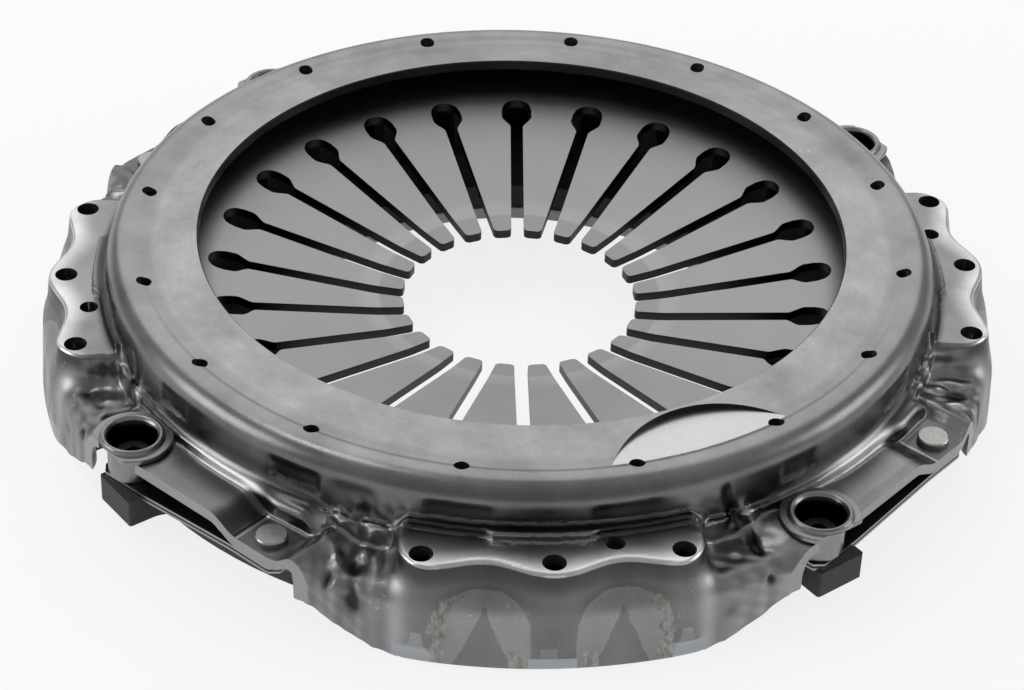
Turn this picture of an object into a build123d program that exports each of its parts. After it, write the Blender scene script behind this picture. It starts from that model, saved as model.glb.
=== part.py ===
from build123d import *

import os
from math import asin, cos, degrees, radians, sin, sqrt, tan

os.makedirs("parts", exist_ok=True)

# Truck clutch cover assembly, pull type, all in millimetres. The origin is the centre of the face
# that sits on the flywheel, +Z points away from the flywheel, and the first mounting lug is on +X.

# ---- Bolts and pattern ----
lug_count = 4  # mounting lugs, with a leaf-spring arm between each two
bolt_circle = 450.0  # pitch circle of the flywheel bolts, and of the sleeves and rivets
bolt_hole = 11.0  # clearance for M10
bolt_step = 15.0  # degrees between the three bolts of a lug
dowel_circle = 428.6
dowel_hole = 9.0
dowel_step = 7.5  # degrees from a lug's centre to its locating hole

# ---- Cover, one steel pressing ----
sheet = 5.6  # thickness of the pressing
cover_height = 76.7  # flywheel face to the lip of the cover's opening
opening = 319.2  # diameter of the cover's opening
groove_circle = 377.4  # circle of the ring holes, over the groove that the wire ring sits under
groove_depth = 3.7  # groove below the lip
ring_hole = 7.5
groove_flat = 4.5  # flat bottom of the groove
crown_rise = 1.4  # the rounded crown outside the groove
crown_start = 4.0  # ring holes to the crown's top
crown_radius = 10.0
dome_diameter = 408.0
dome_draft = 0.8  # how much wider the dome's foot is, in radius
ring_hole_spacing = 24.0  # degrees across a lug's centre; the others share what is left
ring_holes = 4  # to each lug

lug_width = 146.0
flange_height = 50.8
lip_margin = 8.6  # bolt centre to the flange's edge at a bolt
lip_scallop = 8.2  # how far the edge draws in between bolts
rim_margin = 14.3  # bolt circle to the foot of the skirt
lug_corner = 14.0  # length of the rounded corner, at the flange
foot_corner = 7.0  # and at the foot
root_round = 7.0  # concave root between dome and flange
root_span = 38.0  # degrees of it on each lug
step_proud = 4.0  # raised step on that root, measured out from the dome's foot
step_height = 6.5
step_start = -7.5  # degrees from the lug's centre
step_end = 5.0

shelf_height = 42.4  # top of an arm's shelf, where the sleeve stands
pad_height = 36.0  # top of an arm's rivet pad
arm_margin = 10.8  # leaf-spring centre line to the arm's straight outer edge
arm_end = 70.5  # arm centre to the outside of the walls that roll down at its ends
arm_roll = 14.0
ramp_start = 18.0  # the shelf drops to the rivet pad between these, from the arm's centre
ramp_end = 32.0
ramp_round = 12.0
pad_round = 4.0
arch_start = 58.0
arch_rise = 4.2
arch_round = 8.0
bench_height = 46.9  # narrow step between dome and shelf
bench_proud = 4.2
saddle_round = 8.0  # skirt between lug and arm
saddle_inset = 3.3  # that skirt stands this far inside the lug's rim
saddle_lap = 0.5  # degrees past a lug's outer bolt where that skirt starts, inside the lug
cut_height = 18.0  # free height under the ends of an arm
recess_diameter = 118.0  # balancing cut in the ring, inside the groove circle
recess_offset = 31.5  # its centre outside that circle
recess_angle = -67.6
recess_floor = 3.7  # below the lip

# ---- Pressure plate casting ----
friction_outer = 431.0
friction_inner = 234.0
face_height = 3.7  # friction face above the flywheel face, spring relaxed
plate_rim_height = 13.8  # thickness at the rim
plate_body_height = 20.3  # thickness inside the rim
rim_step = 16.0  # width of the thinner rim
bore_land = 6.4  # machined part of the bore
bore_relief = 1.0
ridge_radius = 160.0  # where the spring bears on the plate
ridge_width = 15.0
ridge_round = 5.0
vent_width = 14.0  # gaps in the ridge, in line with the spring's slots
vent_floor = 3.0  # above the body
lug_round = 14.0  # casting lug into the rim
lug_edge = 1.5
lug_seat = 23.0  # top of a casting lug, where the leaf springs lie
lug_bottom = 9.1
lug_left = 9.2  # casting lug, sideways from the bolt, clockwise
lug_right = 17.3  # and anticlockwise
lug_reach = 13.5  # casting lug beyond the bolt

# ---- Diaphragm spring and wire ring ----
fingers = 24
wire = 5.6
wire_inside = 1.7  # wire ring's circle inside the ring holes, in radius
spring_edge = 5.0  # spring's edge outside the wire ring's circle, in radius
spring_thickness = 4.6
cone_angle = 12.0
tip_diameter = 117.0
tip_band = 14.5  # cranked band at the finger tips
tip_angle = 8.0
slot_width = 6.6
slot_turn = -3.0  # degrees, first slot from +X
head_width = 16.0
head_length = 20.5
head_clear = 4.5  # slot end to the ridge's crest

# ---- Leaf springs, sleeves, bolts and rivets ----
leaf_count = 3
leaf = 1.2
leaf_width = 21.6
leaf_end = 12.0  # hole centre to the leaf's end
leaf_corner = 4.0
leaf_flat = 16.0  # hole centre to the start of the slope
leaf_pitch = 90.5  # sleeve centre to rivet centre
sleeve_outer = 24.0
sleeve_inner = 20.0
sleeve_floor = 3.0
sleeve_flange = 38.0
sleeve_flat = 13.5  # centre to the flat on the flange's outer side
sleeve_flange_thickness = 2.6
sleeve_lip = 30.0
sleeve_lip_height = 2.2
lip_wall = 2.0
sleeve_clearance = 1.0
bolt_shank = 10.0
bolt_head = 16.0
bolt_head_height = 7.0  # low head
bolt_socket = 7.0
bolt_socket_depth = 4.0
bolt_short = 2.0  # bolt's end inside the casting lug
rivet_shank = 9.0
rivet_head = 15.0
rivet_head_height = 3.0
rivet_edge = 0.6
fit_clearance = 0.1  # on the radius of a bolt or rivet
seat_gap = 0.2  # between parts that roll or rock on each other
lift_gap = 0.3  # sleeve flange over the shelf, at rest
skirt_clearance = 0.6  # low skirt over a casting lug, with the plate lifted
plate_clearance = 4.0  # round the plate, inside the cover
plate_travel = 5.5

# ---- Derived places ----
bolt_radius = bolt_circle / 2
groove_radius = groove_circle / 2
wire_radius = groove_radius - wire_inside
dome_radius = dome_diameter / 2
dome_foot = dome_radius + dome_draft
lug_half = lug_width / 2
lug_pitch = 360 / lug_count
arm_angle = lug_pitch / 2
rim_radius = bolt_radius + rim_margin
groove_top = cover_height - groove_depth
half_pitch = leaf_pitch / 2
leaf_line = sqrt(bolt_radius**2 - half_pitch**2)  # leaf springs' centre line to the main axis
pivot_angle = degrees(asin(half_pitch / bolt_radius))  # arm's centre to its sleeve or rivet
sleeve_angle = arm_angle - pivot_angle
rivet_angle = arm_angle + pivot_angle
arm_edge = leaf_line + arm_margin
saddle_height = lug_seat + plate_travel + skirt_clearance + sheet
saddle_start = bolt_step + saddle_lap
saddle_stop = arm_angle - degrees(asin((arm_end - arm_roll) / rim_radius))
open_air = rim_radius + 20  # cuts that leave through the outside reach this far
below = -2.0  # hollow forms start below the flywheel face
core = opening / 2 - 20  # and inside the opening
stack = leaf_count * leaf
rivet_seat = pad_height - sheet - stack  # underside of the leaf springs at the rivet
sleeve_base = lug_seat + stack
sleeve_flange_base = shelf_height + lift_gap
wire_height = groove_top - sheet - seat_gap - wire / 2


def spring_top(radius):
    """Height of the diaphragm spring's upper face."""
    cone = tan(radians(cone_angle))
    seat = wire_height - (wire / 2 + seat_gap) / cos(radians(cone_angle))
    band = tip_diameter / 2 + tip_band
    if radius >= band:
        return seat - (wire_radius - radius) * cone
    return seat - (wire_radius - band) * cone - (band - radius) * tan(radians(tip_angle))


def dome_form(inset):
    """The dome's outer skin, or with an inset its inner skin, filled down to the flywheel face."""
    flat_start = wire_radius - groove_flat / 2
    lip_slope = groove_depth / (flat_start - opening / 2)
    start = (core, cover_height + lip_slope * (opening / 2 - core) - inset)
    foot = (dome_foot - inset, flange_height - inset)
    with BuildPart() as form:
        with BuildSketch(Plane.XZ):
            with BuildLine():
                FilletPolyline(
                    start,
                    (flat_start, groove_top - inset),
                    (flat_start + groove_flat, groove_top - inset),
                    (groove_radius + crown_start, groove_top + crown_rise - inset),
                    (dome_radius - inset, groove_top + crown_rise - inset),
                    foot,
                    radius=[4, 4, 6, crown_radius - inset],
                )
                Polyline(foot, (dome_foot - inset, below), (core, below), start)
            make_face()
        revolve(axis=Axis.Z)
    return form.part


def lip_point(angle, inset):
    """A point of the scalloped flange edge: full margin at each bolt, drawn in between."""
    wave = (1 + cos(radians(360 * angle / bolt_step))) / 2
    radius = bolt_radius + lip_margin - lip_scallop * (1 - wave) - inset
    return (radius * cos(radians(angle)), radius * sin(radians(angle)))


def lug_outline(curve, corner, side):
    """Closes a lug's plan behind its front curve, with a rounded corner at each end of it."""
    front = (curve @ 1).X - corner
    Line((core, -side), (front, -side))
    Spline((front, -side), curve @ 0, tangents=[(1, 0), curve % 0])
    Spline(curve @ 1, (front, side), tangents=[curve % 1, (-1, 0)])
    Polyline((front, side), (core, side), (core, -side))


def lug_form(inset):
    """One hollow mounting lug on +X: a scalloped flange above, and a round foot below."""
    side = lug_half - inset
    rim = rim_radius - inset
    foot_end = (rim * cos(radians(bolt_step)), rim * sin(radians(bolt_step)))
    with BuildPart() as form:
        with BuildSketch(Plane.XY.offset(flange_height - inset)):
            with BuildLine():
                lip = Spline([lip_point(bolt_step * k / 6, inset) for k in range(-6, 7)])
                lug_outline(lip, lug_corner, side)
            make_face()
        with BuildSketch(Plane.XY.offset(below)):
            with BuildLine():
                foot = ThreePointArc((foot_end[0], -foot_end[1]), (rim, 0), foot_end)
                lug_outline(foot, foot_corner, side)
            make_face()
        loft(ruled=True)
    return form.part


def arm_form(inset, reach):
    """One arm on +X: its section along shelf, ramp, rivet pad and arch, drawn outwards."""
    end = arm_end - inset
    with BuildPart() as form:
        with BuildSketch(Plane.YZ.offset(core)):
            with BuildLine():
                FilletPolyline(
                    (-end, below),
                    (-end, shelf_height - inset),
                    (ramp_start, shelf_height - inset),
                    (ramp_end, pad_height - inset),
                    (arch_start, pad_height - inset),
                    (end, pad_height + arch_rise - inset),
                    (end, below),
                    radius=[
                        arm_roll - inset,
                        ramp_round - inset,
                        pad_round + inset,
                        pad_round + inset,
                        arch_round - inset,
                    ],
                )
                Line((end, below), (-end, below))
            make_face()
        extrude(amount=reach - core)
    return form.part


def bench_form(inset):
    """The narrow step along the inner side of an arm, which bows in behind the sleeve."""
    front = dome_foot + bench_proud - inset
    behind = leaf_line - sleeve_flange / 2 - sleeve_clearance - inset
    end = arm_end - sheet - inset
    with BuildPart() as form:
        with BuildSketch():
            with BuildLine():
                curve = Spline(
                    (behind - bench_proud, -end),
                    (behind, -half_pitch),
                    (front, 0),
                    (front, ramp_end),
                    (front - bench_proud / 2, end),
                )
                Polyline(curve @ 1, (core, end), (core, -end), curve @ 0)
            make_face()
        extrude(amount=bench_height - inset)
    return form.part


def saddle_form(inset):
    """The low skirt from a lug on +X to the arm that follows it, anticlockwise."""
    outer = rim_radius - saddle_inset - inset
    top = saddle_height - inset
    with BuildPart() as form:
        with BuildSketch(Plane.XZ.rotated((0, 0, saddle_start))):
            with BuildLine():
                FilletPolyline(
                    (core, top), (outer, top), (outer, below), radius=[saddle_round - inset]
                )
                Polyline((outer, below), (core, below), (core, top))
            make_face()
        revolve(axis=Axis.Z, revolution_arc=saddle_stop - saddle_start)
    return form.part


def cover_form(inset, reach):
    """All forms of the cover together: dome, lugs, arms, benches and saddles."""
    lug = lug_form(inset)
    arm = arm_form(inset, reach)
    bench = bench_form(inset)
    saddle = saddle_form(inset)
    with BuildPart() as form:
        add(dome_form(inset))
        with PolarLocations(0, lug_count):
            add(lug)
            add(saddle)
        with PolarLocations(0, lug_count, start_angle=-saddle_start - saddle_stop):
            add(saddle)
        with PolarLocations(0, lug_count, start_angle=arm_angle):
            add(arm)
            add(bench)
    return form.part


# ---- Pieces that the cover's form repeats ----
# The concave root of a lug's flange, a turned fillet over the width of the lug.
with BuildPart() as flange_root:
    root_top = flange_height + root_round
    with BuildSketch(Plane.XZ.rotated((0, 0, -root_span / 2))):
        with BuildLine():
            Polyline(
                (dome_foot + root_round, flange_height),
                (dome_foot + root_round, flange_height - 1),
                (dome_foot - sheet / 2, flange_height - 1),
                (dome_foot - sheet / 2, root_top),
                (dome_foot, root_top),
            )
            RadiusArc((dome_foot, root_top), (dome_foot + root_round, flange_height), root_round)
        make_face()
    revolve(axis=Axis.Z, revolution_arc=root_span)

# The raised step pressed into the middle of that root.
with BuildPart() as flange_step:
    with BuildSketch(Plane.XZ.rotated((0, 0, step_start))):
        with BuildLine():
            Polyline(
                (dome_foot - sheet / 2, flange_height - 1),
                (dome_foot + step_proud, flange_height - 1),
                (dome_foot + step_proud, flange_height + step_height - step_proud / 2),
                (dome_foot, flange_height + step_height + step_proud / 2),
                (dome_foot - sheet / 2, flange_height + step_height + step_proud / 2),
                close=True,
            )
        make_face()
    revolve(axis=Axis.Z, revolution_arc=step_end - step_start)

# The space under an arm: the skirt's lower edge climbs from each lug's foot to the arm's ends.
with BuildPart() as arm_space:
    corner = rim_radius * sin(radians(arm_angle) - asin(lug_half / rim_radius))
    middle = (0.4 * corner + 0.6 * arm_end, 0.4 * cut_height)
    with BuildSketch(Plane.YZ.offset(core)):
        with BuildLine():
            ThreePointArc((-corner, 0), (-middle[0], middle[1]), (-arm_end, cut_height))
            Line((-arm_end, cut_height), (arm_end, cut_height))
            ThreePointArc((arm_end, cut_height), middle, (corner, 0))
            Polyline((corner, 0), (corner, below), (-corner, below), (-corner, 0))
        make_face()
    extrude(amount=open_air - core)

# ---- Cover ----
with BuildPart() as cover:
    add(cover_form(0, arm_edge))
    with PolarLocations(0, lug_count):
        add(flange_root.part)
        add(flange_step.part)
    add(cover_form(sheet, open_air), mode=Mode.SUBTRACT)
    with PolarLocations(0, lug_count, start_angle=arm_angle):
        add(arm_space.part, mode=Mode.SUBTRACT)
    # room for the plate, which lifts inside the cover
    Cylinder(
        friction_outer / 2 + plate_clearance,
        face_height + plate_rim_height + plate_travel + plate_clearance,
        align=(Align.CENTER, Align.CENTER, Align.MIN),
        mode=Mode.SUBTRACT,
    )
    Cylinder(opening / 2, 3 * cover_height, mode=Mode.SUBTRACT)
    split(bisect_by=Plane.XY, keep=Keep.TOP)
    # holes for the flywheel bolts and the locating hole of each lug
    for step in (-bolt_step, 0, bolt_step):
        with BuildSketch(Plane.XY.offset(flange_height + 1)):
            with PolarLocations(bolt_radius, lug_count, start_angle=step):
                Circle(bolt_hole / 2)
        extrude(amount=-sheet - 2, mode=Mode.SUBTRACT)
    with BuildSketch(Plane.XY.offset(flange_height + 1)):
        with PolarLocations(dowel_circle / 2, lug_count, start_angle=dowel_step):
            Circle(dowel_hole / 2)
    extrude(amount=-sheet - 2, mode=Mode.SUBTRACT)
    # ring holes over the wire ring
    for k in range(ring_holes):
        share = (lug_pitch - ring_hole_spacing) / (ring_holes - 1)
        with BuildSketch(Plane.XY.offset(cover_height)):
            with PolarLocations(groove_radius, lug_count, start_angle=ring_hole_spacing / 2 + k * share):
                Circle(ring_hole / 2)
        extrude(amount=-groove_depth - 2 * sheet, mode=Mode.SUBTRACT)
    # rivet holes, and a notch for each sleeve that is open to the outside
    with BuildSketch(Plane.XY.offset(pad_height + 1)):
        with PolarLocations(bolt_radius, lug_count, start_angle=rivet_angle):
            Circle(rivet_shank / 2 + fit_clearance)
    extrude(amount=-sheet - 2, mode=Mode.SUBTRACT)
    with BuildSketch(Plane.XY.offset(shelf_height + 1)):
        with PolarLocations(0, lug_count, start_angle=arm_angle):
            with Locations((leaf_line, -half_pitch)):
                Circle(sleeve_outer / 2 + sleeve_clearance)
                Rectangle(
                    rim_margin + open_air - rim_radius,
                    sleeve_outer + 2 * sleeve_clearance,
                    align=(Align.MIN, Align.CENTER),
                )
    extrude(amount=-shelf_height, mode=Mode.SUBTRACT)
    # the balancing cut, which stops at the groove and leaves the crown whole
    with BuildSketch(Plane.XY.offset(cover_height - recess_floor)):
        with PolarLocations(groove_radius + recess_offset, 1, start_angle=recess_angle):
            Circle(recess_diameter / 2)
        Circle(groove_radius, mode=Mode.INTERSECT)
    extrude(amount=2 * recess_floor, mode=Mode.SUBTRACT)
cover.part.label = "cover"
export_step(cover.part, "parts/cover.step")

# ---- Wire ring that the diaphragm spring rocks on ----
with BuildPart() as fulcrum_ring:
    with BuildSketch(Plane.XZ):
        with Locations((wire_radius, wire_height)):
            Circle(wire / 2)
    revolve(axis=Axis.Z)
fulcrum_ring.part.label = "fulcrum_ring"
export_step(fulcrum_ring.part, "parts/fulcrum_ring.step")

# ---- A slot between two fingers, with a keyhole head at its outer end ----
with BuildSketch() as slot:
    head_end = ridge_radius - head_clear
    neck = head_end - head_length
    flare = (head_width - slot_width) / 2
    with BuildLine():
        side = FilletPolyline(
            (core / 4, slot_width / 2),
            (neck, slot_width / 2),
            (neck + flare, head_width / 2),
            (head_end, head_width / 2),
            (head_end, 0),
            radius=[flare / 2, flare / 2, head_width / 3],
        )
        Polyline(side @ 0, (core / 4, 0), side @ 1)
    make_face()
    mirror(about=Plane.XZ)

# ---- Diaphragm spring: a cone with a cranked band at the tips, cut into fingers ----
with BuildPart() as diaphragm_spring:
    radii = [tip_diameter / 2, tip_diameter / 2 + tip_band, wire_radius + spring_edge]
    thick = spring_thickness / cos(radians(cone_angle))
    upper = [(r, spring_top(r)) for r in radii]
    lower = [(r, spring_top(r) - thick) for r in reversed(radii)]
    with BuildSketch(Plane.XZ):
        with BuildLine():
            Polyline(*upper, *lower, close=True)
        make_face()
    revolve(axis=Axis.Z)
    with BuildSketch():
        with PolarLocations(0, fingers, start_angle=slot_turn):
            add(slot.sketch)
    extrude(amount=cover_height, mode=Mode.SUBTRACT)
diaphragm_spring.part.label = "diaphragm_spring"
export_step(diaphragm_spring.part, "parts/diaphragm_spring.step")

# ---- Plan of a casting lug, its outer face square to its bolt's radius ----
with BuildSketch() as lug_plan:
    with BuildLine():
        rim = friction_outer / 2
        reach = bolt_radius + lug_reach
        hidden = rim - rim_step
        outline = FilletPolyline(
            (hidden, -3 * lug_left),
            (rim - 3, -3 * lug_left),
            (rim, -lug_left),
            (reach, -lug_left),
            (reach, lug_right),
            (rim - 1, lug_right),
            (rim - 5, lug_right + 1.5 * lug_round),
            (hidden, lug_right + 1.5 * lug_round),
            radius=[1, lug_round / 2, lug_edge, lug_edge, lug_round, 1],
        )
        Line(outline @ 1, outline @ 0)
    make_face()

# ---- Pressure plate: a cast ring with a machined face, a vented ridge and four lugs ----
with BuildPart() as pressure_plate:
    bore = friction_inner / 2
    rim = friction_outer / 2
    rim_top = face_height + plate_rim_height
    body_top = face_height + plate_body_height
    spring_under = spring_top(ridge_radius) - spring_thickness / cos(radians(cone_angle))
    crest = spring_under - (ridge_round + lift_gap) / cos(radians(cone_angle))  # crest's centre
    with BuildSketch(Plane.XZ):
        with BuildLine():
            Polyline(
                (ridge_radius + ridge_round, crest),
                (ridge_radius + ridge_width / 2, body_top),
                (rim - rim_step - (body_top - rim_top), body_top),
                (rim - rim_step, rim_top),
                (rim, rim_top),
                (rim, face_height),
                (bore, face_height),
                (bore, face_height + bore_land),
                (bore + bore_relief, face_height + bore_land),
                (bore + bore_relief, body_top),
                (ridge_radius - ridge_width / 2, body_top),
                (ridge_radius - ridge_round, crest),
            )
            ThreePointArc(
                (ridge_radius - ridge_round, crest),
                (ridge_radius, crest + ridge_round),
                (ridge_radius + ridge_round, crest),
            )
        make_face()
    revolve(axis=Axis.Z)
    with BuildSketch(Plane.XY.offset(body_top + vent_floor)):
        with PolarLocations(ridge_radius, fingers, start_angle=slot_turn):
            Rectangle(2 * ridge_width, vent_width)
    extrude(amount=cover_height, mode=Mode.SUBTRACT)
    # the lugs that carry the leaf springs
    with BuildSketch(Plane.XY.offset(lug_bottom)):
        with PolarLocations(0, lug_count, start_angle=sleeve_angle):
            add(lug_plan.sketch)
    extrude(amount=lug_seat - lug_bottom)
    with BuildSketch(Plane.XY.offset(lug_seat)):
        with PolarLocations(bolt_radius, lug_count, start_angle=sleeve_angle):
            Circle(bolt_shank / 2 + fit_clearance)
    extrude(amount=lug_bottom - lug_seat, mode=Mode.SUBTRACT)
pressure_plate.part.label = "pressure_plate"
export_step(pressure_plate.part, "parts/pressure_plate.step")

# ---- Leaf springs: thin steel straps in a stack, joggled from the casting lug up to the cover ----
with BuildPart() as leaf_blank:
    with BuildSketch():
        with BuildLine():
            length = half_pitch + leaf_end
            half = leaf_width / 2
            Polyline(
                (leaf_line - half, leaf_corner - length),
                (leaf_line - half + leaf_corner, -length),
                (leaf_line + half - leaf_corner, -length),
                (leaf_line + half, leaf_corner - length),
                (leaf_line + half, length - leaf_corner),
                (leaf_line + half - leaf_corner, length),
                (leaf_line - half + leaf_corner, length),
                (leaf_line - half, length - leaf_corner),
                close=True,
            )
        make_face()
        with Locations((leaf_line, -half_pitch)):
            Circle(bolt_shank / 2 + fit_clearance, mode=Mode.SUBTRACT)
        with Locations((leaf_line, half_pitch)):
            Circle(rivet_shank / 2 + fit_clearance, mode=Mode.SUBTRACT)
    extrude(amount=shelf_height)

for arm in range(lug_count):
    for k in range(leaf_count):
        low = lug_seat + k * leaf
        high = rivet_seat + k * leaf
        flat = half_pitch - leaf_flat
        with BuildPart() as leaf_spring:
            with BuildSketch(Plane.YZ.offset(leaf_line - leaf_width)):
                with BuildLine():
                    Polyline(
                        (-open_air, low),
                        (-flat, low),
                        (flat, high),
                        (open_air, high),
                        (open_air, high + leaf),
                        (flat, high + leaf),
                        (-flat, low + leaf),
                        (-open_air, low + leaf),
                        close=True,
                    )
                make_face()
            extrude(amount=2 * leaf_width)
            add(leaf_blank.part, mode=Mode.INTERSECT)
        turned = leaf_spring.part.rotate(Axis.Z, arm_angle + arm * lug_pitch)
        turned.label = f"leaf_spring_{arm + 1}_{k + 1}"
        export_step(turned, f"parts/{turned.label}.step")

# ---- Sleeves: flanged cups on the leaf springs, which stop the plate's travel on the shelf ----
with BuildPart() as sleeve:
    with BuildSketch(Plane.XZ):
        with BuildLine():
            outer = sleeve_outer / 2
            inner = sleeve_inner / 2
            lip = sleeve_lip / 2
            flange_top = sleeve_flange_base + sleeve_flange_thickness
            Polyline(
                (bolt_shank / 2 + fit_clearance, sleeve_base),
                (outer, sleeve_base),
                (outer, sleeve_flange_base),
                (sleeve_flange / 2, sleeve_flange_base),
                (sleeve_flange / 2, flange_top),
                (lip, flange_top),
                (lip - lip_wall / 2, flange_top + sleeve_lip_height),
                (lip - lip_wall, flange_top + sleeve_lip_height),
                (inner, flange_top - sleeve_lip_height),
                (inner, sleeve_base + sleeve_floor),
                (bolt_shank / 2 + fit_clearance, sleeve_base + sleeve_floor),
                close=True,
            )
        make_face()
    revolve(axis=Axis.Z)
    with BuildSketch(Plane.XY.offset(sleeve_flange_base)):
        with Locations((sleeve_flat, 0)):
            Rectangle(
                sleeve_flange, 2 * sleeve_flange, align=(Align.MIN, Align.CENTER)
            )
    extrude(amount=sleeve_flange_thickness, mode=Mode.SUBTRACT)

# ---- Socket-head bolt inside each sleeve, down into the casting lug ----
with BuildPart() as sleeve_bolt:
    head_base = sleeve_base + sleeve_floor
    with BuildSketch(Plane.XY.offset(lug_bottom + bolt_short)):
        Circle(bolt_shank / 2)
    extrude(amount=head_base - lug_bottom - bolt_short)
    with BuildSketch(Plane.XY.offset(head_base)):
        Circle(bolt_head / 2)
    extrude(amount=bolt_head_height)
    with BuildSketch(Plane.XY.offset(head_base + bolt_head_height)):
        RegularPolygon(bolt_socket / 2, 6, major_radius=False)
    extrude(amount=-bolt_socket_depth, mode=Mode.SUBTRACT)

# ---- Rivets that hold the leaf springs under the cover's pads ----
with BuildPart() as cover_rivet:
    shank_length = pad_height - rivet_seat
    with BuildSketch(Plane.XY.offset(rivet_seat)):
        Circle(rivet_shank / 2)
    extrude(amount=shank_length)
    with BuildSketch(Plane.XY.offset(pad_height)):
        Circle(rivet_head / 2)
    extrude(amount=rivet_head_height)
    chamfer(cover_rivet.edges().group_by(Axis.Z)[-1], rivet_edge)
    with BuildSketch(Plane.XY.offset(rivet_seat)):
        Circle(rivet_head / 2)
    extrude(amount=-rivet_head_height)

for arm in range(lug_count):
    turn = arm * lug_pitch
    for name, piece, angle in (
        ("sleeve", sleeve, sleeve_angle),
        ("sleeve_bolt", sleeve_bolt, sleeve_angle),
        ("cover_rivet", cover_rivet, rivet_angle),
    ):
        placed = piece.part.moved(Rotation(0, 0, angle + turn) * Pos(bolt_radius, 0, 0))
        placed.label = f"{name}_{arm + 1}"
        export_step(placed, f"parts/{placed.label}.step")
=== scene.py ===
import math

import bmesh
import bpy
import numpy as np
from mathutils import Matrix, Vector


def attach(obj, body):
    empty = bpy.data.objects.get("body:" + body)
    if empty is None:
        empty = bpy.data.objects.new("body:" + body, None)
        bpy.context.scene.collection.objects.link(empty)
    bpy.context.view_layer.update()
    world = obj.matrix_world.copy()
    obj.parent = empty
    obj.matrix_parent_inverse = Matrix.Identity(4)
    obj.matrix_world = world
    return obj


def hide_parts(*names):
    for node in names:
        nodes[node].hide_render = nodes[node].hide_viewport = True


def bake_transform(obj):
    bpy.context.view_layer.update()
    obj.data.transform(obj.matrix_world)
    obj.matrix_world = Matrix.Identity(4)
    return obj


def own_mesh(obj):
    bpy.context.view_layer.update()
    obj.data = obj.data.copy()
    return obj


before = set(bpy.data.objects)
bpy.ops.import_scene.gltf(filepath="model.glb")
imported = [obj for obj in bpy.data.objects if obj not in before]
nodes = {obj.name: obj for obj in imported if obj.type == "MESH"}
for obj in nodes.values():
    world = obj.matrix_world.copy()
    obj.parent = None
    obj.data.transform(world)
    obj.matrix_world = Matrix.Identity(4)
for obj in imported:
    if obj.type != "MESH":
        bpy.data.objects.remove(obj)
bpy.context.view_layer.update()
print("frame loaded,", len(nodes), "nodes")


# Smooth step from 0 at edge0 to 1 at edge1: t squared times (3 - 2t), with t even between them.
def smooth(edge0, edge1, x):
    t = np.clip((x - edge0) / (edge1 - edge0), 0, 1)
    return t * t * (3 - 2 * t)


# Rounded joins of two distance fields, r the radius: meet keeps what is in both, join what is in either.
def meet(a, b, r):
    u = np.maximum(a + r, 0)
    v = np.maximum(b + r, 0)
    return np.minimum(-r, np.maximum(a, b)) + np.sqrt(u * u + v * v)


def join(a, b, r):
    u = np.maximum(r - a, 0)
    v = np.maximum(r - b, 0)
    return np.maximum(r, np.minimum(a, b)) - np.sqrt(u * u + v * v)


def turnXY(x, y, angle):
    return x * math.cos(angle) - y * math.sin(angle), x * math.sin(angle) + y * math.cos(angle)


# Angle of the nth of four lugs, or of the nth of four arms, in radians.
def lugAngle(n):
    return n * math.pi / 2


def armAngle(n):
    return math.radians(45 + 90 * n)


def addPiece(name, points, faces, material):
    mesh = bpy.data.meshes.new(name)
    mesh.from_pydata(points.tolist(), [], faces if isinstance(faces, list) else faces.tolist())
    mesh.validate()
    mesh.shade_smooth()
    mesh.set_sharp_from_angle(angle=math.radians(32))
    mesh.materials.append(material)
    piece = bpy.data.objects.new(name, mesh)
    bpy.context.scene.collection.objects.link(piece)
    return piece


# Quads of a grid of points kept row by row. A closed direction joins its last line to its first.
def gridFaces(rows, columns, closedRows, closedColumns):
    i = np.arange(rows if closedRows else rows - 1)
    j = np.arange(columns if closedColumns else columns - 1)
    a, b = np.meshgrid(i, j, indexing="ij")
    a2 = (a + 1) % rows
    b2 = (b + 1) % columns
    quads = [a * columns + b, a2 * columns + b, a2 * columns + b2, a * columns + b2]
    return np.stack(quads, -1).reshape(-1, 4)


# Merges doubled points, turns every face outwards and prints how many edges stay open.
def tidy(piece, merge, angle):
    shape = bmesh.new()
    shape.from_mesh(piece.data)
    bmesh.ops.remove_doubles(shape, verts=shape.verts, dist=merge)
    bmesh.ops.recalc_face_normals(shape, faces=shape.faces)
    loose = sum(1 for edge in shape.edges if len(edge.link_faces) != 2)
    shape.to_mesh(piece.data)
    shape.free()
    piece.data.shade_smooth()
    piece.data.set_sharp_from_angle(angle=math.radians(angle))
    print(piece.name, len(piece.data.polygons), "faces, open edges", loose)


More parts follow.
